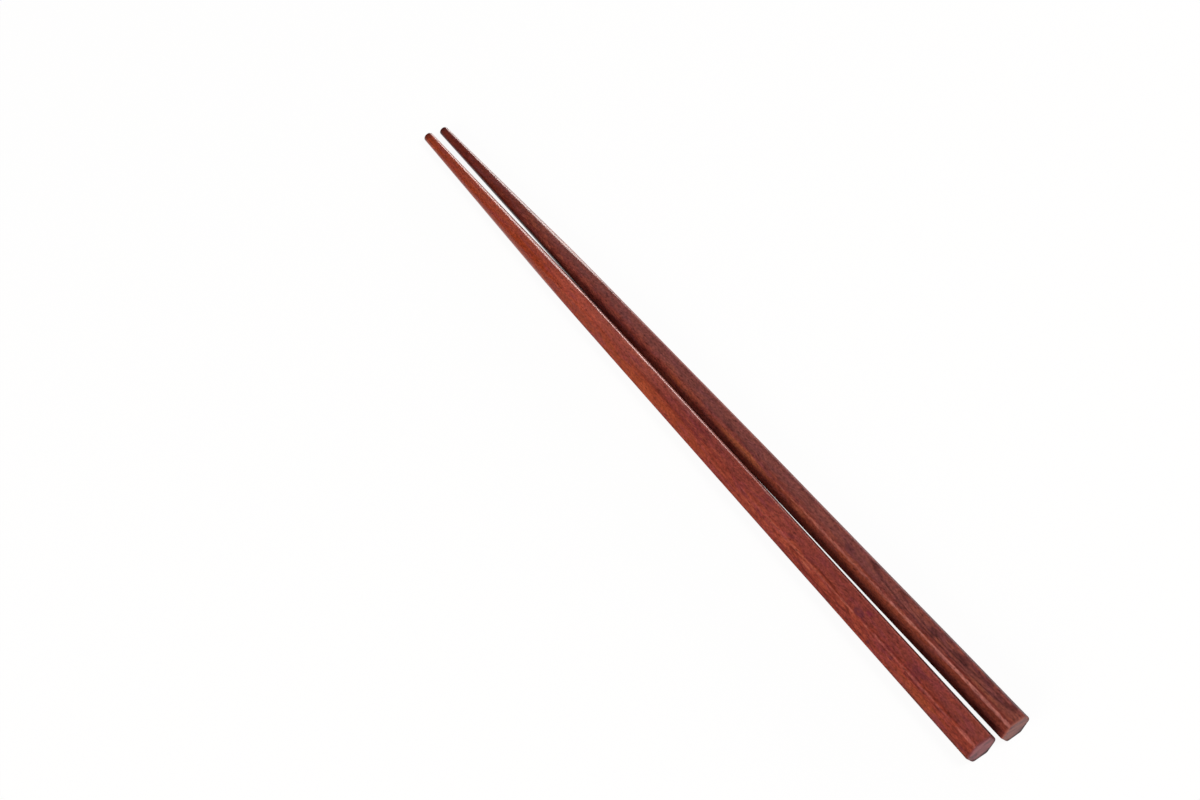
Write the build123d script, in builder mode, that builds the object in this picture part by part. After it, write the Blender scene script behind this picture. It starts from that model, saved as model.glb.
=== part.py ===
from build123d import *
from math import atan, cos, pi, sin, tan
import os

# A pair of wooden table chopsticks, lying side by side as they come to rest.
# Each stick is one piece of hardwood with six flats and a slow taper, turned
# round towards its eating end, where the flats run out one by one.
# X runs from the tips to the butts, the surface they lie on is Z = 0, and the
# origin is under the middle of the pair.

# Driving dimensions of one stick
length = 225.0          # tip to butt
butt_flats = 7.65       # across the flats at the butt
shoulder = 52.0         # from the tip to where the turned cone meets the flats
shoulder_flats = 5.2    # across the flats at the shoulder
tip_diameter = 2.6      # of the turned end, measured before its edge is rounded
edge_radius = 0.6       # rounding of the six long edges
rim_radius = 0.4        # rounding of the rim at the butt
tip_round = 0.7         # rounding of the edge at the tip

# Driving dimensions of the pair
shoulder_gap = 0.03     # between the facing long edges, if both ran on to the shoulder
butt_gap = 0.95         # between the facing long edges at the butts
stagger = 0.65          # how much further towards +X the rear stick lies

# What follows from them
sides = 6
half_corner = pi / sides
flats_slope = (butt_flats - shoulder_flats) / 2 / (length - shoulder)
cone_slope = (shoulder_flats - tip_diameter) / 2 / shoulder


def flats_at(distance):
    """Size across the flats at a distance from the tip."""
    return shoulder_flats + 2 * flats_slope * (distance - shoulder)


def edge_reach(distance):
    """From a stick's axis to the outside of its rounded long edges."""
    sharp_corner = flats_at(distance) / 2 / cos(half_corner)
    return sharp_corner - edge_radius * (1 / cos(half_corner) - 1)


# The two axes open like a narrow fan, so that both gaps come out as given
shoulder_spacing = 2 * edge_reach(shoulder) + shoulder_gap
butt_spacing = 2 * edge_reach(length) + butt_gap
half_fan = atan((butt_spacing - shoulder_spacing) / 2 / (length - shoulder))
tip_spacing = butt_spacing - 2 * length * tan(half_fan)

# The lowest flat lies on the surface, so each axis climbs with the taper
climb = atan(flats_slope)


def section_plane(side):
    """Plane across a stick's tip, with its Z along the axis and its X level."""
    turn = side * half_fan
    tip = (
        (side * stagger - length * cos(half_fan)) / 2,
        side * tip_spacing / 2,
        flats_at(0) / 2 * cos(climb),
    )
    along = (cos(turn) * cos(climb), sin(turn) * cos(climb), sin(climb))
    level = (-sin(turn), cos(turn), 0)
    return Plane(origin=tip, x_dir=level, z_dir=along)


def flat_plane(across, angle):
    """Plane of one flat, facing outwards at an angle round the axis, counted from level."""
    outward = across.x_dir * cos(angle) + across.y_dir * sin(angle)
    origin = across.origin + outward * flats_at(0) / 2
    return Plane(origin=origin, z_dir=outward * cos(climb) - across.z_dir * sin(climb))


def chopstick(label, side):
    """One stick, written to its own file: front at side -1 and rear at side 1."""
    across = section_plane(side)
    axis = Axis(across.origin, across.z_dir)
    lengthwise = Plane(origin=across.origin, x_dir=across.z_dir, z_dir=across.x_dir)

    with BuildPart() as stick:
        # A square-cut blank, planed to six flats that close in towards the tip
        with BuildSketch(across):
            Circle(butt_flats)
        extrude(amount=length)
        for count in range(sides):
            split(bisect_by=flat_plane(across, (2 * count + 1) * half_corner), keep=Keep.BOTTOM)
        ends = stick.faces().sort_by(axis)
        long_edges = stick.edges() - ends[0].edges() - ends[-1].edges()
        fillet(long_edges, edge_radius)

        # The butt is cut square and its rim is eased
        butt_face = stick.faces().sort_by(axis)[-1]
        fillet(butt_face.edges(), rim_radius)

        # The turned end is a cone with a rounded tip. It is steeper than the flats,
        # so it leaves each flat in a scallop and each long edge a little further on
        cone_length = length + butt_flats
        cone_end = (cone_length, tip_diameter / 2 + cone_slope * cone_length)
        with BuildSketch(lengthwise):
            with BuildLine():
                turned = FilletPolyline((0, 0), (0, tip_diameter / 2), cone_end, radius=tip_round)
                Polyline(turned @ 1, (cone_length, 0), turned @ 0)
            make_face()
        revolve(axis=axis, mode=Mode.INTERSECT)

    stick.part.label = label
    export_step(stick.part, f"parts/{label}.step")


os.makedirs("parts", exist_ok=True)
chopstick("front_chopstick", -1)
chopstick("rear_chopstick", 1)
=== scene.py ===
import bpy
import numpy as np
from math import atan, cos, pi, radians, sin, sqrt
from mathutils import Euler, Matrix, Vector


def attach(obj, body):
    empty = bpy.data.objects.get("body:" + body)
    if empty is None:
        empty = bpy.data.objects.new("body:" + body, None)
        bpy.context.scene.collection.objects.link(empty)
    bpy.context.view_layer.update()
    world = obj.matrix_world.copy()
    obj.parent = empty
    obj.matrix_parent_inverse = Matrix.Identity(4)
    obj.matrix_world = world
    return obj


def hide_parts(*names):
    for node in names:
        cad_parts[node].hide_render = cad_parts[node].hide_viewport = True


# A pair of hexagonal rosewood chopsticks, lying side by side on a white surface.
# Lengths are in millimetres until a mesh is made, and metres in Blender.

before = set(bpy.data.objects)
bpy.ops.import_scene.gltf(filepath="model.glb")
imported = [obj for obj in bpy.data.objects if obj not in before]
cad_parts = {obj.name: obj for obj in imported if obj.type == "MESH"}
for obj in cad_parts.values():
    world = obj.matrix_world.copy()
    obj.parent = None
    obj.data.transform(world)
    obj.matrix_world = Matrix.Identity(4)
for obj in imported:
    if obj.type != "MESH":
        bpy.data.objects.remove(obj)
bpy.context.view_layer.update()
scene = bpy.context.scene
mm = 0.001
sides = 6


def linear(hexColour):
    # sRGB hex to the linear numbers that shaders use, with a full alpha
    coded = [int(hexColour[i:i + 2], 16) / 255 for i in (1, 3, 5)]
    return [c / 12.92 if c <= 0.04045 else ((c + 0.055) / 1.055) ** 2.4 for c in coded] + [1.0]


def addNode(tree, kind, inputs=None, **settings):
    # one node with its settings; an input is a value, or a socket to link from
    node = tree.nodes.new(kind)
    for name, value in settings.items():
        setattr(node, name, value)
    for name, value in (inputs or {}).items():
        if isinstance(value, bpy.types.NodeSocket):
            tree.links.new(value, node.inputs[name])
        else:
            node.inputs[name].default_value = value
    return node


def newMaterial(name):
    # an empty node material, with its node tree
    material = bpy.data.materials.new(name)
    material.use_nodes = True
    material.node_tree.nodes.clear()
    return material, material.node_tree


# Rosewood's pattern in layers of noise: the periods of each in mm along the stick, level
# across it and upwards, then its detail, its roughness and where in the noise it is read.
# Flecks and pores are drawn about twice as coarse as rosewood's own, or they would be lost
# at this size.
woodLayers = {
    "wander": ((30, 8, 8), 1, 0.5, 0),           # the grain's own slow bends
    "bands": ((60, 2.0, 2.0), 2, 0.5, 1),        # redder and browner bands
    "mottle": ((3.4, 0.9, 0.9), 2, 0.6, 2),
    "fibre": ((9, 0.3, 0.3), 3, 0.6, 3),
    "pores": ((1.4, 0.36, 0.36), 2, 0.5, 4),
    "cells": ((0.6, 0.28, 0.28), 2, 0.6, 5),     # of the sawn butt
    "years": ((8, 4, 0.9), 2, 0.5, 6),           # growth layers across the sawn butt
    "flecks": ((0.85, 0.36, 0.36), 3, 0.7, 7),
    "tinge": ((7, 1.3, 1.3), 2, 0.5, 8),         # cloudy mauve patches
}

# How the layers colour the wood, and how it shines. A pair of tones is for the low and the
# high parts of a layer, and a mask starts and is full at two of its values and covers a share.
woodFinish = {
    "wander": 3.0,               # mm that the grain is pushed aside
    "mottleShare": 0.55,         # of the mottle in its mix with the bands
    "ramp": (0.36, 0.5, 0.64),   # where that mix is dark, heart and light
    "markFade": (0.35, 1.1),     # full and gone at these shares of a mark's size
    "ragged": 0.35,              # how far the mottle moves that, as a share of its size too
    "tinge": (0.48, 0.68, 0.45),
    "fibre": (0.9, 1.1),
    "flecks": (0.4, 1.6),
    "pores": (0.56, 0.7, 0.6),
    "tipStain": (0.3, 2.2, 0.85),    # full and gone at these distances from the tip
    "rimCover": 0.85,
    "towardsLight": (0, -0.35, 0.94),   # towards the main lamp, the side on which the rim is painted lighter
    "rimFade": (-2.4, 0.2),      # mm that way from the axis where the rim's painted shade is full and gone
    "faceStart": (1.6, 0.4),     # endGrain where the face begins, on the rim's painted shaded side and its painted lit side
    "faceFade": 0.5,
    "years": (0.36, 0.6),
    "cells": (0.8, 1.15),
    "bump": 0.05,
    "bumpDepth": 0.04,
    "matt": (0.22, 0.5),         # roughness of the turned end and of the flats
    "sheen": (0.22, 0.05),       # specular level of the same
    "burnished": 0.42,           # roughness of an edge that has at least half of its burnish
}


def rosewood(stick, tip, length, axis, level, up):
    # Rosewood, planed, sanded and given a thin satin lacquer: a fine mottled grain with
    # short dark pores along the stick, cloudy redder and browner bands, a few dark figures,
    # greyer end grain, and a low sheen that only brightens where it is seen very flatly
    material, tree = newMaterial(stick["node"] + " satin lacquered rosewood")
    finish = woodFinish
    inward = Matrix([axis, level, up])
    place = -(inward @ Vector(tip))
    coords = addNode(tree, "ShaderNodeTexCoord")
    local = addNode(tree, "ShaderNodeMapping", {
        "Vector": coords.outputs["Object"], "Scale": (1 / mm,) * 3,
        "Rotation": inward.to_euler(), "Location": place}).outputs[0]
    seed = stick["seed"] * 10.0

    def layer(source, name, output="Fac"):
        # noise with its own periods along the stick, level across it and upwards
        periods, detail, roughness, offset = woodLayers[name]
        scaled = addNode(tree, "ShaderNodeVectorMath", {
            0: source, 1: tuple(1 / period for period in periods)}, operation="MULTIPLY").outputs[0]
        return addNode(tree, "ShaderNodeTexNoise", {
            "Vector": scaled, "Scale": 1.0, "Detail": detail, "Roughness": roughness,
            "W": seed + offset}, noise_dimensions="4D").outputs[output]

    # the grain: wood colours from bands and mottle, with the marks, the tinge, the tones of
    # fibres and flecks, and the pores over them
    bend = addNode(tree, "ShaderNodeVectorMath", {
        0: layer(local, "wander", "Color"), 1: (0.5, 0.5, 0.5)}, operation="SUBTRACT").outputs[0]
    push = addNode(tree, "ShaderNodeVectorMath", {
        0: bend, 1: (0, finish["wander"], finish["wander"])}, operation="MULTIPLY").outputs[0]
    grain = addNode(tree, "ShaderNodeVectorMath", {0: local, 1: push}, operation="ADD").outputs[0]
    mottle = layer(grain, "mottle")
    fibre = layer(grain, "fibre")
    mixed = addNode(tree, "ShaderNodeMix", {
        "Factor": finish["mottleShare"], "A": layer(grain, "bands"), "B": mottle}).outputs["Result"]
    bandRamp = addNode(tree, "ShaderNodeValToRGB", {"Fac": mixed})
    ramp = bandRamp.color_ramp
    dark, heart, light = finish["ramp"]
    ramp.elements[0].position, ramp.elements[0].color = dark, linear(stick["dark"])
    ramp.elements[1].position, ramp.elements[1].color = light, linear(stick["light"])
    ramp.elements.new(heart).color = linear(stick["heart"])
    colour = bandRamp.outputs["Color"]
    ragged = addNode(tree, "ShaderNodeMapRange", {
        "Value": mottle, "From Min": 0.2, "From Max": 0.8,
        "To Min": -finish["ragged"], "To Max": finish["ragged"]}).outputs[0]
    for mark in stick["marks"]:
        colour = markedWood(tree, colour, mark, length, local, ragged)
    start, full, cover = finish["tinge"]
    tinge = addNode(tree, "ShaderNodeMapRange", {
        "Value": layer(grain, "tinge"),
        "From Min": start, "From Max": full, "To Min": 0.0, "To Max": cover}).outputs[0]
    colour = addNode(tree, "ShaderNodeMix", {
        "Factor": tinge, "A": colour, "B": linear(stick["tint"])},
        data_type="RGBA").outputs["Result"]
    for noise, tones in ((fibre, finish["fibre"]), (layer(grain, "flecks"), finish["flecks"])):
        tone = addNode(tree, "ShaderNodeMapRange", {
            "Value": noise, "From Min": 0.25, "From Max": 0.75,
            "To Min": tones[0], "To Max": tones[1]})
        colour = addNode(tree, "ShaderNodeVectorMath", {
            0: colour, "Scale": tone.outputs[0]}, operation="SCALE").outputs[0]
    start, full, cover = finish["pores"]
    poreMask = addNode(tree, "ShaderNodeMapRange", {
        "Value": layer(grain, "pores"),
        "From Min": start, "From Max": full, "To Min": 0.0, "To Max": cover},
        interpolation_type="SMOOTHSTEP").outputs[0]
    colour = addNode(tree, "ShaderNodeMix", {
        "Factor": poreMask, "A": colour, "B": linear(stick["fleck"])},
        data_type="RGBA").outputs["Result"]

    # the stained tip
    fromTip = addNode(tree, "ShaderNodeSeparateXYZ", {"Vector": local}).outputs["X"]
    full, gone, cover = finish["tipStain"]
    tipMask = addNode(tree, "ShaderNodeMapRange", {
        "Value": fromTip, "From Min": full, "From Max": gone, "To Min": cover, "To Max": 0.0},
        interpolation_type="SMOOTHSTEP").outputs[0]
    colour = addNode(tree, "ShaderNodeMix", {
        "Factor": tipMask, "A": colour, "B": linear(stick["tipEnd"])},
        data_type="RGBA").outputs["Result"]

    # the rim of the butt, with painted light on its upper part, which faces the main lamp, and
    # painted shade on its lower and far part
    endMask = addNode(tree, "ShaderNodeAttribute", attribute_name="endGrain").outputs["Fac"]
    rimMask = addNode(tree, "ShaderNodeMapRange", {
        "Value": endMask, "From Min": 0.0, "From Max": 0.5,
        "To Min": 0.0, "To Max": finish["rimCover"]}).outputs[0]
    upper = addNode(tree, "ShaderNodeVectorMath", {0: local, 1: finish["towardsLight"]},
                    operation="DOT_PRODUCT")
    shadedAt, litAt = finish["rimFade"]
    litSide = addNode(tree, "ShaderNodeMapRange", {
        "Value": upper.outputs["Value"], "From Min": shadedAt, "From Max": litAt}).outputs[0]
    rim = addNode(tree, "ShaderNodeMix", {
        "Factor": litSide, "A": linear(stick["rimShaded"]), "B": linear(stick["rimLit"])},
        data_type="RGBA").outputs["Result"]
    colour = addNode(tree, "ShaderNodeMix", {"Factor": rimMask, "A": colour, "B": rim},
                     data_type="RGBA").outputs["Result"]

    # the sawn face, in which the rim's painted shade reaches further on its dark part
    start, full = finish["years"]
    yearTone = addNode(tree, "ShaderNodeMapRange", {
        "Value": layer(local, "years"), "From Min": start, "From Max": full}).outputs[0]
    cut = addNode(tree, "ShaderNodeMix", {
        "Factor": yearTone, "A": linear(stick["endShade"]), "B": linear(stick["endGrain"])},
        data_type="RGBA").outputs["Result"]
    low, high = finish["cells"]
    cellTone = addNode(tree, "ShaderNodeMapRange", {
        "Value": layer(local, "cells"),
        "From Min": 0.3, "From Max": 0.7, "To Min": low, "To Max": high}).outputs[0]
    sawn = addNode(tree, "ShaderNodeVectorMath", {0: cut, "Scale": cellTone},
                   operation="SCALE").outputs[0]
    atShade, atLight = finish["faceStart"]
    faceStart = addNode(tree, "ShaderNodeMapRange", {
        "Value": litSide, "To Min": atShade, "To Max": atLight}).outputs[0]
    inFace = addNode(tree, "ShaderNodeMath", {0: endMask, 1: faceStart},
                     operation="SUBTRACT").outputs[0]
    faceMask = addNode(tree, "ShaderNodeMapRange", {
        "Value": inFace, "From Min": 0.0, "From Max": finish["faceFade"]},
        interpolation_type="SMOOTHSTEP").outputs[0]
    colour = addNode(tree, "ShaderNodeMix", {"Factor": faceMask, "A": colour, "B": sawn},
                     data_type="RGBA").outputs["Result"]

    # the lacquer: satin on the turned end, dull on the flats and burnished where it is handled
    relief = addNode(tree, "ShaderNodeMath", {0: fibre, 1: poreMask}, operation="SUBTRACT")
    bump = addNode(tree, "ShaderNodeBump", {
        "Height": relief.outputs[0], "Strength": finish["bump"],
        "Distance": finish["bumpDepth"] * mm})
    smooth, plain = stick["polished"]
    matt, sheen = [addNode(tree, "ShaderNodeMapRange", {
        "Value": fromTip, "From Min": smooth, "From Max": plain,
        "To Min": turned, "To Max": planed},
        interpolation_type="SMOOTHSTEP").outputs[0]
        for turned, planed in (finish["matt"], finish["sheen"])]
    used, unused = stick["handled"]
    handled = addNode(tree, "ShaderNodeMapRange", {
        "Value": fromTip, "From Min": used, "From Max": unused, "To Min": 1.0, "To Max": 0.0},
        interpolation_type="SMOOTHSTEP").outputs[0]
    burnish = addNode(tree, "ShaderNodeAttribute", attribute_name="burnish").outputs["Fac"]
    burnish = addNode(tree, "ShaderNodeMath", {0: burnish, 1: handled},
                      operation="MULTIPLY").outputs[0]
    sheen = addNode(tree, "ShaderNodeMath", {0: sheen, 1: burnish}, operation="ADD").outputs[0]
    glossy = addNode(tree, "ShaderNodeMath", {0: burnish, 1: 2.0}, operation="MULTIPLY",
                     use_clamp=True).outputs[0]
    matt = addNode(tree, "ShaderNodeMix", {
        "Factor": glossy, "A": matt, "B": finish["burnished"]}).outputs["Result"]
    shader = addNode(tree, "ShaderNodeBsdfPrincipled", {
        "Base Color": colour, "Roughness": matt, "IOR": 1.5, "Specular IOR Level": sheen,
        "Normal": bump.outputs[0]})
    addNode(tree, "ShaderNodeOutputMaterial", {"Surface": shader.outputs[0]})
    return material


def markedWood(tree, colour, mark, length, local, ragged):
    # the colour with one mark over it: full in the middle of the mark's ellipsoid and fading
    # to nothing about its edge, which the mottle makes ragged. The ellipsoid's centre lies on
    # the surface, at flats / 2 / cos(angle from the flat's middle) from the axis
    turn = radians(mark["angle"])
    flats = flatsAt(stickForm, max(mark["at"], stickForm["shoulder"]), length)
    step = 360 / sides
    reach = flats / 2 / cos(radians(mark["angle"] % step - step / 2))
    centre = (mark["at"], reach * cos(turn), reach * sin(turn))
    ball = addNode(tree, "ShaderNodeMapping", {
        "Vector": local, "Location": centre,
        "Scale": (mark["length"], mark["width"], mark["width"])}, vector_type="TEXTURE").outputs[0]
    away = addNode(tree, "ShaderNodeVectorMath", {0: ball}, operation="LENGTH").outputs["Value"]
    if "line" in mark:
        away = addNode(tree, "ShaderNodeMath", {0: away, 1: 1.0}, operation="SUBTRACT").outputs[0]
        away = addNode(tree, "ShaderNodeMath", {0: away}, operation="ABSOLUTE").outputs[0]
        away = addNode(tree, "ShaderNodeMath", {0: away, 1: mark["line"]},
                       operation="DIVIDE").outputs[0]
    if "rough" in mark:
        ragged = addNode(tree, "ShaderNodeMath", {0: ragged, 1: mark["rough"]},
                         operation="MULTIPLY").outputs[0]
    away = addNode(tree, "ShaderNodeMath", {0: away, 1: ragged}, operation="ADD").outputs[0]
    full, gone = woodFinish["markFade"]
    mask = addNode(tree, "ShaderNodeMapRange", {
        "Value": away, "From Min": full, "From Max": gone, "To Min": mark["cover"], "To Max": 0.0},
        interpolation_type="SMOOTHSTEP").outputs[0]
    return addNode(tree, "ShaderNodeMix", {
        "Factor": mask, "A": colour, "B": linear(mark["colour"])},
        data_type="RGBA").outputs["Result"]


# One stick's form, as the part's own drawing has it, with what hand finishing adds
stickForm = {
    "buttFlats": 7.65,       # across the flats at the butt
    "shoulder": 52.0,        # from the tip to where the turned cone meets the flats
    "shoulderFlats": 5.2,
    "tipRound": 0.55,
    "rimRound": 0.7,
    "edge": 0.6,             # rounding of the long edges
    "cornerReach": 9.0,      # how far from the butt each corner's own rounding begins
    "blend": 0.04,           # how softly the flats run out into the cone
    "waver": 0.015,          # depth of the sanded-in waves along a flat
    "sanding": [(0.7, 18, 22, 90), (0.3, 18, 5, 14)],   # share, number, shortest and longest wave
    "calmEnds": (6, 2),      # length at the tip and at the butt over which the waves die out
    "edgeWaver": 0.2,        # share by which the rounding of an edge comes and goes
    "edgeWaves": (9, 9, 70),     # number, shortest and longest
    "turnedPolish": 0.9,     # extra polish of the turned end, on its far side
    "polishAngle": 10,       # where that is strongest, in degrees round the axis
    "tipInset": 0.004,       # the tip starts this far in, so that its rim stays in the drawn length
    "ringStep": 0.6,         # between rings along the stick
    "discRings": 5,          # rings on the tip's disc and over its rounding
    "tipRings": 9,
    "rimRings": 8,           # over the rim and on the butt's face
    "faceRings": 9,
    "flatPoints": 12,        # points across a flat and round an edge
    "edgePoints": 9,
    "edgeSpan": 10.4,        # degrees of a ring that an edge's own points take
}

# corners scales the rounding of the six long edges at the butt, from the far side at middle
# height, over the top and round below, and burnish says how much use has polished each.
# farCorner scales the rounding of the upper far edge along the stick, bow moves the stick
# sideways and swell upwards, each as (distance from the tip, value). polished and handled are
# where the turned end's polish and the edges' burnish begin to fade, and where they are gone.
# A mark is a soft patch of another colour in the wood, or of painted light or shade where its
# comment says so: its place (mm from the tip and degrees round the axis, where 90 is the top and
# 150 the near side), its half length and half width in mm, its colour and how strongly it covers.
# With a line, only the outline of the patch shows, that share of it thick; rough makes its edge
# more ragged.
frontStick = {
    "node": "front_chopstick",
    "seed": 11,
    "tipDiameter": 2.55,
    "corners": (1.5, 1.3, 1.15, 1.1, 1.2, 1.1),
    "burnish": (0.9, 0.92, 0, 0, 0, 0),
    "farCorner": [(0, 1), (60, 1), (85, 0.95), (145, 0.95), (170, 1), (225, 1)],
    "bow": [(0, 0.1), (15, 0.07), (35, 0.02), (60, -0.01), (115, -0.03), (150, -0.036),
            (190, -0.045), (212, -0.055), (225, -0.014)],
    "swell": [(0, 0), (60, 0.01), (90, 0.09), (110, 0.13), (130, 0.165), (150, 0.13),
              (170, 0.065), (205, 0.035), (215, 0), (225, 0)],
    "polished": (40, 110),
    "handled": (100, 160),
    "heart": "#7A3226",
    "light": "#8E4230",
    "dark": "#58201C",
    "fleck": "#45160F",
    "tint": "#74323E",
    "endGrain": "#945E62",
    "endShade": "#6E4C50",
    # rim colours: painted light where the rim faces the main lamp, painted shade on its lower, far
    # part
    "rimLit": "#6E4046",
    "rimShaded": "#2E2226",
    "tipEnd": "#4A1A12",
    "nicks": [],
    "marks": [
        {"at": 30, "angle": 140, "length": 60, "width": 9, "colour": "#823012", "cover": 0.75},
        {"at": 26, "angle": 84, "length": 48, "width": 2.0, "colour": "#9C4C3A", "cover": 0.5},
        {"at": 100, "angle": 148, "length": 34, "width": 2.2, "colour": "#94421E", "cover": 0.45},
        {"at": 70, "angle": 96, "length": 20, "width": 2.0, "colour": "#A84E3C", "cover": 0.7},
        {"at": 206, "angle": 158, "length": 12, "width": 1.2, "colour": "#8C4424", "cover": 0.4},
        # painted shade: a dark line along the near edge by the butt, where the surface turns under
        {"at": 212, "angle": 180, "length": 26, "width": 0.8, "colour": "#4E2A22", "cover": 0.7},
        # painted reflection: a pale pink streak along the far flat, standing in for the bright
        # floor it mirrors at a grazing angle
        {"at": 105, "angle": 40, "length": 62, "width": 2.0, "colour": "#C4908A", "cover": 0.8},
        # painted shade: the far flat darkened towards the butt
        {"at": 224, "angle": 33, "length": 34, "width": 2.2, "colour": "#462A2A", "cover": 0.75},
        # the top flat's greyer, more purple tone: partly the wood's own, partly a painted sheen of
        # the light from above
        {"at": 160, "angle": 84, "length": 140, "width": 2.4, "colour": "#7C3A34", "cover": 0.6},
        {"at": 90, "angle": 88, "length": 20, "width": 2.2, "colour": "#984C3C", "cover": 0.6},
        {"at": 193, "angle": 146, "length": 7, "width": 2.0, "colour": "#6A2C26", "cover": 0.5},
        {"at": 222, "angle": 90, "length": 12, "width": 2.2, "colour": "#7A3C32", "cover": 0.5},
        {"at": 120, "angle": 90, "length": 5, "width": 1.5, "colour": "#5E2226", "cover": 0.45},
        {"at": 157, "angle": 108, "length": 1.6, "width": 0.7, "colour": "#552026", "cover": 0.6},
        {"at": 169.5, "angle": 138, "length": 10.5, "width": 1.5,
         "line": 0.12, "colour": "#541A12", "cover": 0.6},
        {"at": 168, "angle": 140, "length": 7, "width": 0.9,
         "line": 0.16, "colour": "#541A12", "cover": 0.4},
        {"at": 170, "angle": 114.5, "length": 9, "width": 0.25, "colour": "#4E1710", "cover": 0.6,
         "rough": 2},
        {"at": 164.5, "angle": 140, "length": 2.6, "width": 0.5,
         "colour": "#A8604E", "cover": 0.5},
        {"at": 182.3, "angle": 111, "length": 1.1, "width": 0.6,
         "line": 0.7, "colour": "#47202A", "cover": 0.65},
        {"at": 184, "angle": 85, "length": 1.2, "width": 0.7, "colour": "#6A2034", "cover": 0.6},
        {"at": 195.6, "angle": 135, "length": 1.0, "width": 0.75,
         "colour": "#37161E", "cover": 0.8},
        {"at": 193.6, "angle": 134, "length": 2.0, "width": 0.5,
         "colour": "#5A1E1E", "cover": 0.4},
        {"at": 188.6, "angle": 164, "length": 0.6, "width": 0.9,
         "colour": "#4A1C2A", "cover": 0.6},
        {"at": 178.5, "angle": 108, "length": 0.7, "width": 0.9,
         "colour": "#521C22", "cover": 0.4},
        {"at": 199.6, "angle": 104, "length": 1.0, "width": 0.6,
         "colour": "#521A26", "cover": 0.5},
        # a pale line along the near top ridge: partly paler worn wood, partly a painted highlight
        {"at": 168, "angle": 125, "length": 30, "width": 0.4, "colour": "#9A5242", "cover": 0.6,
         "rough": 2.2},
        {"at": 206, "angle": 124, "length": 26, "width": 0.35, "colour": "#985248", "cover": 0.65,
         "rough": 2},
        {"at": 221.5, "angle": 124, "length": 5, "width": 0.6, "colour": "#A65C50", "cover": 0.65,
         "rough": 1.5},
        {"at": 206, "angle": 131, "length": 12, "width": 0.3, "colour": "#5A1E16", "cover": 0.5,
         "rough": 2},
        {"at": 205, "angle": 116, "length": 16, "width": 0.25, "colour": "#561A12", "cover": 0.55,
         "rough": 2},
        {"at": 203, "angle": 95, "length": 3.6, "width": 1.1, "colour": "#54202A", "cover": 0.5},
    ],
}

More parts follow.
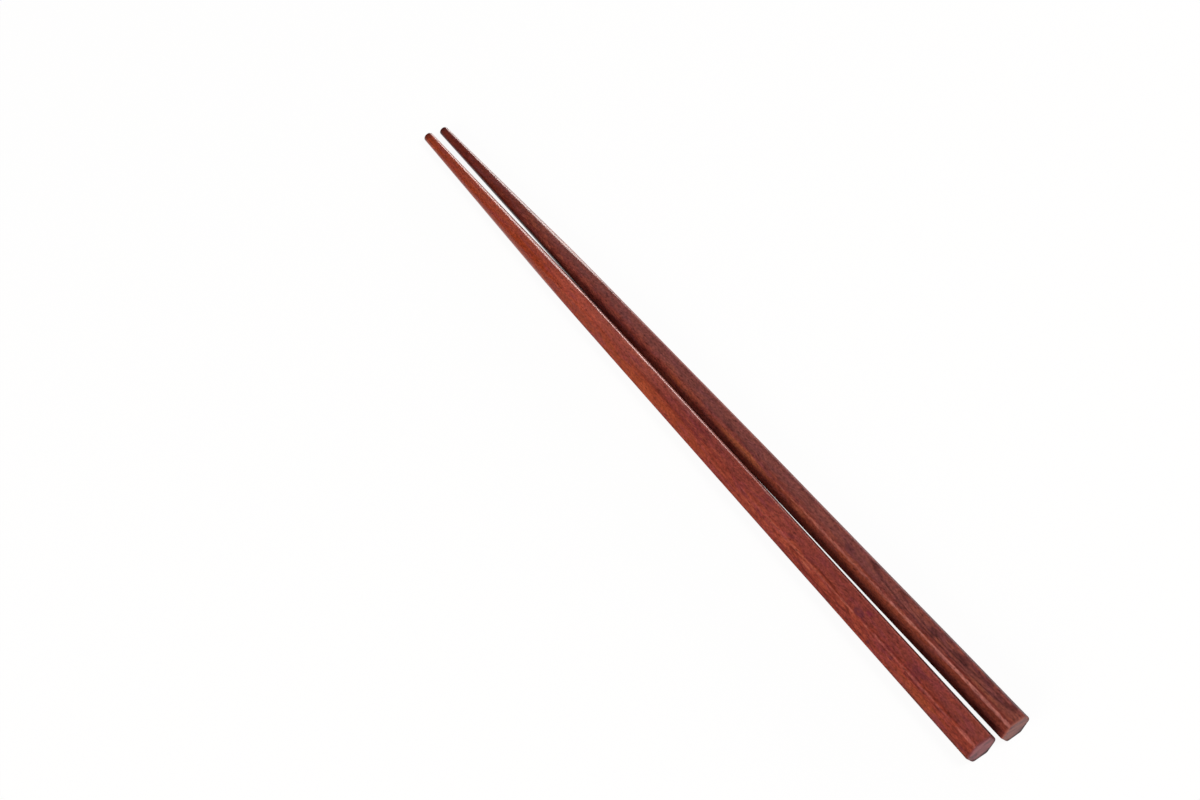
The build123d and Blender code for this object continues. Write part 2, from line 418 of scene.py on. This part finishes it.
rearStick = {
    "node": "rear_chopstick",
    "seed": 29,
    "tipDiameter": 2.36,
    "corners": (1.0, 1.0, 1.0, 1.3, 1.2, 1.1),
    "burnish": (0.5, 0.5, 0, 0, 0, 0),
    "farCorner": [(0, 1), (70, 1), (90, 0.82), (130, 0.85), (160, 1), (225, 1)],
    "bow": [(0, -0.2), (30, -0.13), (60, -0.03), (90, -0.06), (110, -0.09), (130, -0.1),
            (150, -0.1), (170, -0.095), (185, -0.06), (200, 0), (225, 0.05)],
    "swell": [(0, 0), (60, 0), (90, 0.035), (110, 0.095), (130, 0.145), (150, 0.11),
              (170, 0.075), (185, 0.06), (205, 0.03), (215, -0.02), (225, -0.04)],
    "polished": (40, 90),
    "handled": (50, 95),
    "heart": "#70322A",
    "light": "#844636",
    "dark": "#4C1C1A",
    "fleck": "#351012",
    "tint": "#6C3A40",
    "endGrain": "#90645E",
    "endShade": "#6A4E52",
    # rim colours: painted light where the rim faces the main lamp, painted shade on its lower, far
    # part
    "rimLit": "#8E564C",
    "rimShaded": "#2A2020",
    "tipEnd": "#3A1412",
    "nicks": [{"at": 128.4, "angle": 57, "length": 0.35, "width": 0.5, "depth": 0.12}],
    "marks": [
        {"at": 8, "angle": 90, "length": 52, "width": 9, "colour": "#5A2016", "cover": 0.85},
        # the top flat's greyer, more purple tone: partly the wood's own, partly a painted sheen of
        # the light from above
        {"at": 125, "angle": 84, "length": 150, "width": 2.4, "colour": "#724440", "cover": 0.6},
        {"at": 212, "angle": 84, "length": 26, "width": 2.2, "colour": "#643430", "cover": 0.5},
        # painted shade: the far flat darkened towards the butt, darkest at its very end
        {"at": 214, "angle": 24, "length": 80, "width": 2.5, "colour": "#43292A", "cover": 0.85},
        {"at": 226, "angle": 32, "length": 34, "width": 2.4, "colour": "#2E1A1C", "cover": 0.75},
        {"at": 198, "angle": 68, "length": 24, "width": 2.5,
         "line": 0.09, "colour": "#3C181A", "cover": 0.6},
        {"at": 199, "angle": 68, "length": 15, "width": 1.7,
         "line": 0.12, "colour": "#3C181A", "cover": 0.55},
        {"at": 175, "angle": 140, "length": 62, "width": 1.5, "colour": "#8E4630", "cover": 0.5},
        {"at": 105, "angle": 138, "length": 6, "width": 1.0, "colour": "#9A5030", "cover": 0.45},
        {"at": 130, "angle": 136, "length": 12, "width": 1.2, "colour": "#A05A3A", "cover": 0.55},
        {"at": 151, "angle": 140, "length": 3, "width": 0.9, "colour": "#A8604A", "cover": 0.5},
        # a pale line along the near top ridge: partly paler worn wood, partly a painted highlight
        {"at": 172, "angle": 126, "length": 30, "width": 0.45, "colour": "#A66456", "cover": 0.7,
         "rough": 2},
        {"at": 208, "angle": 123.5, "length": 30, "width": 0.55, "colour": "#AE6E64", "cover": 0.8,
         "rough": 2},
        {"at": 196, "angle": 117, "length": 14, "width": 0.3, "colour": "#521A12", "cover": 0.5,
         "rough": 2},
        {"at": 211, "angle": 114.5, "length": 14, "width": 0.3, "colour": "#5A1C12", "cover": 0.6,
         "rough": 2},
        # a pale line along the near top ridge: partly paler worn wood, partly a painted highlight
        {"at": 135, "angle": 126, "length": 20, "width": 0.35, "colour": "#9C543A", "cover": 0.5},
        {"at": 142, "angle": 119, "length": 20, "width": 0.25, "colour": "#4A1C16", "cover": 0.4},
        {"at": 123, "angle": 110, "length": 2.5, "width": 0.7, "colour": "#4A2022", "cover": 0.5},
        {"at": 167, "angle": 98, "length": 2.2, "width": 1.3, "colour": "#46202A", "cover": 0.5},
        {"at": 189, "angle": 78, "length": 3, "width": 0.9, "colour": "#8A4A38", "cover": 0.4},
        {"at": 196, "angle": 90, "length": 2.5, "width": 1.2, "colour": "#3A181A", "cover": 0.65},
        {"at": 205, "angle": 84, "length": 3.2, "width": 1.0, "colour": "#341417", "cover": 0.7},
        {"at": 211, "angle": 72, "length": 5, "width": 0.5, "colour": "#3E181C", "cover": 0.6},
        {"at": 218, "angle": 74, "length": 5, "width": 0.5, "colour": "#40191C", "cover": 0.55},
        {"at": 214, "angle": 104, "length": 8, "width": 0.5, "colour": "#8E5038", "cover": 0.4},
    ],
}


def stickAxis(nodeName):
    # the axis from the middle of the tip's disc to the middle of the butt's face, in mm,
    # with the directions along it, level across it and upwards; each round of the loop
    # picks the two end faces more closely
    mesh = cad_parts[nodeName].data
    points = np.empty(len(mesh.vertices) * 3)
    mesh.vertices.foreach_get("co", points)
    points = np.unique(np.round(points.reshape(-1, 3) / mm, 4), axis=0)
    axis = np.array((1.0, 0.0, 0.0))
    for depth in (0.12, 0.04, 0.015, 0.006, 0.006):
        reach = points @ axis
        tip = points[reach < reach.min() + depth]
        butt = points[reach > reach.max() - depth]
        tip = (tip.min(0) + tip.max(0)) / 2
        butt = (butt.min(0) + butt.max(0)) / 2
        axis = (butt - tip) / np.linalg.norm(butt - tip)
    level = np.cross((0, 0, 1), axis)
    level /= np.linalg.norm(level)
    return tip, np.linalg.norm(butt - tip), axis, level, np.cross(axis, level)


def flatsAt(form, d, length):
    # across the flats: it grows evenly from the shoulder to the butt
    taper = (form["buttFlats"] - form["shoulderFlats"]) * (d - form["shoulder"])
    return form["shoulderFlats"] + taper / (length - form["shoulder"])


def curveAt(table, d):
    # a smooth curve along a table of (distance from the tip, value): straight lines
    # between its rows, averaged over 9 mm to each side
    spread = np.linspace(-9, 9, 19)
    places, values = np.array(table, float).T
    return sum(np.interp(d + shift, places, values) for shift in spread) / len(spread)


def waves(rng, d, around, count, shortest, longest):
    # a smooth random field between about -1 and 1: a sum of cosines of the distance along
    # the stick plus a whole number of turns around it, each with its own phase
    total = np.zeros(np.broadcast(d, around).shape)
    for _ in range(count):
        length = shortest * (longest / shortest) ** rng.random()
        total += np.cos(2 * pi * d / length + rng.integers(0, 5) * around + 2 * pi * rng.random())
    return total / sqrt(count) / 1.6


def ringTable(form, stick, length):
    # one row for each ring from the tip's pole to the butt's: distance from the tip, how
    # far the flats are drawn in there, and the radius that the turning leaves. The tip is a
    # disc, a quarter arc and the cone; the butt is the flats, a quarter arc and the face
    tipRadius = stick["tipDiameter"] / 2
    slope = (form["shoulderFlats"] / 2 - tipRadius) / form["shoulder"]
    tipRound, rim = form["tipRound"], form["rimRound"]
    centre = tipRadius + slope * tipRound - tipRound * sqrt(1 + slope ** 2)
    turn = np.linspace(0, pi / 2 - atan(slope), form["tipRings"])
    disc = np.linspace(0, centre, form["discRings"])[:-1]
    start = tipRound * (1 - sin(atan(slope)))
    body = np.linspace(start, length - rim, int((length - rim) / form["ringStep"]))[1:]
    lip = np.linspace(0, pi / 2, form["rimRings"])[1:]
    face = np.linspace(rim, form["buttFlats"] / 2, form["faceRings"])[1:]
    buttRadius = tipRadius + slope * length
    distance = np.concatenate([disc * 0, tipRound * (1 - np.cos(turn)), body,
                               length - rim + rim * np.sin(lip), face * 0 + length])
    turned = np.concatenate([disc, centre + tipRound * np.sin(turn), tipRadius + slope * body,
                             lip * 0 + buttRadius, face * 0 + buttRadius])
    drawnIn = np.concatenate([disc * 0, turn * 0, body * 0, rim * (1 - np.cos(lip)), face])
    return distance, drawnIn, turned


def stickSurface(form, stick, length):
    # The radius at a distance from the tip and an angle round the axis: a rounded hexagon,
    # apothem / cos(angle from the flat's middle) on a flat and the edge's arc beyond it,
    # softly limited by the turned cone, then drawn in a little by sanding waves and nicks
    rng = np.random.default_rng(stick["seed"])
    distance, drawnIn, turned = ringTable(form, stick, length)
    step = 2 * pi / sides
    edgeHalf = radians(form["edgeSpan"] / 2)
    flatPart = np.linspace(edgeHalf, step - edgeHalf, form["flatPoints"] + 1)[1:-1]
    edgePart = np.linspace(-edgeHalf, edgeHalf, form["edgePoints"])
    sector = np.concatenate([edgePart, flatPart])
    angle = (np.arange(sides)[:, None] * step + sector).ravel()
    d, a = distance[:, None], angle[None, :]
    apothem = np.maximum(flatsAt(form, d, length) / 2 - drawnIn[:, None], 1e-6)

    # the rounding of each edge: its own at the butt, wavering, and less as the rim closes in
    nearButt = np.clip(1 - (length - d) / form["cornerReach"], 0, 1) ** 2
    edgeOf = np.round(a / step).astype(int) % sides
    edgeWave = np.zeros((len(distance), len(angle)))
    for corner in range(sides):
        wave = waves(rng, d, d * 0, *form["edgeWaves"])
        edgeWave += np.where(edgeOf == corner, wave, 0)
    scale = 1 + nearButt * (np.array(stick["corners"])[edgeOf] - 1)
    scale = scale * np.where(edgeOf == 1, curveAt(stick["farCorner"], d), 1)
    edge = form["edge"] * scale * (1 + form["edgeWaver"] * np.maximum(edgeWave, 0))
    edge = np.clip(edge - 0.4 * drawnIn[:, None], 0.02, 0.9 * apothem)

    # the rounded hexagon; middle is how far from the axis the centre of an edge's arc lies
    fromFlat = np.abs((a % step) - step / 2)
    arcStart = np.arctan((apothem - edge) * np.tan(step / 2) / apothem)
    middle = (apothem - edge) / cos(step / 2)
    toCorner = step / 2 - fromFlat
    inner = np.maximum(edge ** 2 - (middle * np.sin(toCorner)) ** 2, 0)
    radius = np.where(fromFlat < arcStart, apothem / np.cos(fromFlat),
                      middle * np.cos(toCorner) + np.sqrt(inner))

    # the smaller of hexagon and cone, with a soft step between them
    cone = turned[:, None] + 0 * a
    blend = form["blend"]
    overlap = np.clip(0.5 + 0.5 * (cone - radius) / blend, 0, 1)
    radius = cone + (radius - cone) * overlap - blend * overlap * (1 - overlap)
    radius = np.minimum(np.maximum(radius, 0), cone)
    radius = radius + radius / apothem * curveAt(stick["swell"], d)
    tipCalm, buttCalm = form["calmEnds"]
    soft = np.clip(d / tipCalm, 0, 1) * np.clip((length - d) / buttCalm, 0, 1)
    sanding = sum(share * waves(rng, d, a, *sizes) for share, *sizes in form["sanding"])
    radius = radius - soft * form["waver"] * np.clip(1 + sanding, 0, 2)
    for nick in stick["nicks"]:
        away = (a - radians(nick["angle"]) + pi) % (2 * pi) - pi
        lengthwise = (d - nick["at"]) / nick["length"]
        crosswise = away * radius / nick["width"]
        radius = radius - nick["depth"] * np.exp(-lengthwise ** 2 - crosswise ** 2)

    # burnish: on the long edges by corner, coming in over 0.06 radians of their arc, and on
    # the turned end's far side, full within 40 degrees of its own angle and gone at 64. It
    # goes over from one to the other until the flats lie 0.1 mm inside the cone
    arc = np.clip((fromFlat - arcStart) / 0.06, 0, 1) * np.array(stick["burnish"])[edgeOf]
    facing = np.cos(a - radians(form["polishAngle"]))
    turnedSide = form["turnedPolish"] * np.clip(3 * facing - 1.3, 0, 1)
    flatness = np.clip((cone - radius) / 0.1, 0, 1)
    return distance, angle, radius, turnedSide + (arc - turnedSide) * flatness


def buildStick(form, stick):
    # rings of points round the axis, joined by quads, with a fan at each pole. A point is the
    # tip + its distance along the axis + its radius, turned by its angle from level to up,
    # moved sideways by the bow and upwards by the swell
    tip, length, axis, level, up = stickAxis(stick["node"])
    distance, angle, radius, burnish = stickSurface(form, stick, length)
    radius, rings = radius[1:-1], np.maximum(distance[1:-1], form["tipInset"])
    bow, swell = curveAt(stick["bow"], rings), curveAt(stick["swell"], rings)
    sideways = np.array((0.0, 1.0, 0.0))
    points = (tip + rings[:, None, None] * axis
              + (radius * np.cos(angle))[:, :, None] * level + bow[:, None, None] * sideways
              + (radius * np.sin(angle) + swell[:, None])[:, :, None] * up)
    count, around = radius.shape
    grid = np.arange(count * around).reshape(count, around)
    beside = np.roll(grid, -1, 1)
    quads = np.stack([grid[:-1], beside[:-1], beside[1:], grid[1:]], -1).reshape(-1, 4)
    poles = count * around + np.arange(2)
    tipFan = np.stack([np.full(around, poles[0]), beside[0], grid[0]], -1)
    buttFan = np.stack([np.full(around, poles[1]), grid[-1], beside[-1]], -1)
    ends = [tip + rings[0] * axis + bow[0] * sideways, tip + length * axis + bow[-1] * sideways]
    vertices = np.concatenate([points.reshape(-1, 3), ends]) * mm
    mesh = bpy.data.meshes.new(stick["node"] + "_wood")
    mesh.from_pydata(vertices, [], quads.tolist() + tipFan.tolist() + buttFan.tolist())
    mesh.polygons.foreach_set("use_smooth", np.ones(len(mesh.polygons), bool))
    # 0 on the sides, rising to 1 over the rim and to 2 within the next millimetre of the face
    lip = np.clip((rings - length) / form["rimRound"] + 1, 0, 1)
    reach = radius.max(1)
    inwards = np.where(lip < 1, 0, np.clip(reach[lip == 1].max() - reach, 0, 1))
    endness = np.concatenate([np.repeat(lip ** 2 + inwards, around), (0, 2)])
    mesh.attributes.new("endGrain", "FLOAT", "POINT").data.foreach_set("value", endness)
    burnish = np.concatenate([burnish[1:-1].ravel(), (0, 0)])
    mesh.attributes.new("burnish", "FLOAT", "POINT").data.foreach_set("value", burnish)
    mesh.update()
    piece = bpy.data.objects.new(stick["node"] + "_wood", mesh)
    scene.collection.objects.link(piece)
    piece.data.materials.append(rosewood(stick, tip, length, axis, level, up))
    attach(piece, "root")
    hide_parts(stick["node"])
    print(stick["node"], "length", round(length, 2), "faces", len(mesh.polygons))


floor = {
    "half": 3.0,             # half its side, in metres
    "colour": "#FAFAFA",
    "glow": 0.94,            # share of it that the camera sees as plain white
}


def whiteWhereSeen(tree, shading, glow):
    # the camera, and what is mirrored or seen through, gets plain white for a share of the
    # surface; everything else gets the surface's own shading
    paths = addNode(tree, "ShaderNodeLightPath")
    seen = addNode(tree, "ShaderNodeMath", {
        0: paths.outputs["Is Camera Ray"], 1: paths.outputs["Is Glossy Ray"]},
        operation="MAXIMUM").outputs[0]
    seen = addNode(tree, "ShaderNodeMath", {0: seen, 1: paths.outputs["Is Transmission Ray"]},
                   operation="MAXIMUM").outputs[0]
    share = addNode(tree, "ShaderNodeMath", {0: seen, 1: glow}, operation="MULTIPLY").outputs[0]
    white = addNode(tree, "ShaderNodeEmission", {"Color": (1, 1, 1, 1), "Strength": 1.0})
    return addNode(tree, "ShaderNodeMixShader", {0: share, 1: shading, 2: white.outputs[0]})


def buildFloor():
    # a square of matt white paper at height 0, which shows only the pair's soft shadow
    low, high = -floor["half"], floor["half"]
    corners = [(low, low, 0), (high, low, 0), (high, high, 0), (low, high, 0)]
    mesh = bpy.data.meshes.new("floor")
    mesh.from_pydata(corners, [], [(0, 1, 2, 3)])
    material, tree = newMaterial("white paper sweep")
    matt = addNode(tree, "ShaderNodeBsdfDiffuse", {"Color": linear(floor["colour"])})
    mixed = whiteWhereSeen(tree, matt.outputs[0], floor["glow"])
    addNode(tree, "ShaderNodeOutputMaterial", {"Surface": mixed.outputs[0]})
    mesh.materials.append(material)
    holder = bpy.data.objects.new("floor", mesh)
    scene.collection.objects.link(holder)


# Soft boxes: the main one, one behind just above the floor, and one overhead
light = {
    "world": 0.15,           # what the surroundings give to matt surfaces
    "lamps": [
        {"name": "near", "from": (375, -1340, 562), "size": (1000, 900), "power": 20.3,
         "colour": "#FFF6EC"},
        {"name": "far", "from": (-626, 1343, 190), "size": (1200, 330), "power": 22.0,
         "colour": "#FFF6F2"},
        {"name": "above", "from": (500, 500, 1320), "size": (700, 700), "power": 12.9,
         "colour": "#FFF8F4"},
    ],
}


def buildLight():
    # a dim white world, and each soft box turned towards the middle of the pair
    world = bpy.data.worlds.new("studio")
    world.use_nodes = True
    tree = world.node_tree
    tree.nodes.clear()
    soft = addNode(tree, "ShaderNodeBackground", {
        "Color": (1, 1, 1, 1), "Strength": light["world"]})
    addNode(tree, "ShaderNodeOutputWorld", {"Surface": soft.outputs[0]})
    scene.world = world
    for lamp in light["lamps"]:
        data = bpy.data.lights.new(lamp["name"], "AREA")
        data.shape = "RECTANGLE"
        data.size, data.size_y = (side * mm for side in lamp["size"])
        data.energy = lamp["power"]
        data.color = linear(lamp["colour"])[:3]
        holder = bpy.data.objects.new(lamp["name"], data)
        place = Vector(lamp["from"]) * mm
        holder.location = place
        holder.rotation_euler = place.to_track_quat("Z", "Y").to_euler()
        holder.visible_camera = False
        scene.collection.objects.link(holder)


camera = {
    "place": (283.4, -237.8, 534.7),
    "azimuth": 53.59,        # degrees, 0 looks along +Y
    "elevation": 54.97,      # degrees down
    "lens": 79.23,
    "sensor": 36.0,
    "clip": (0.01, 20),      # metres
}


def buildCamera():
    # looking straight down at first, then tilted up by 90 degrees less its elevation
    # and turned by its azimuth
    data = bpy.data.cameras.new("camera")
    data.lens, data.sensor_width = camera["lens"], camera["sensor"]
    data.clip_start, data.clip_end = camera["clip"]
    holder = bpy.data.objects.new("camera", data)
    holder.location = Vector(camera["place"]) * mm
    tilt, turn = radians(90 - camera["elevation"]), radians(camera["azimuth"])
    holder.rotation_euler = Euler((tilt, 0, turn))
    scene.collection.objects.link(holder)
    scene.camera = holder


scene.view_settings.view_transform = "Standard"
buildCamera()
buildLight()
buildFloor()
print("camera, lamps and floor placed")
for stick in (frontStick, rearStick):
    buildStick(stickForm, stick)
print("sticks built")
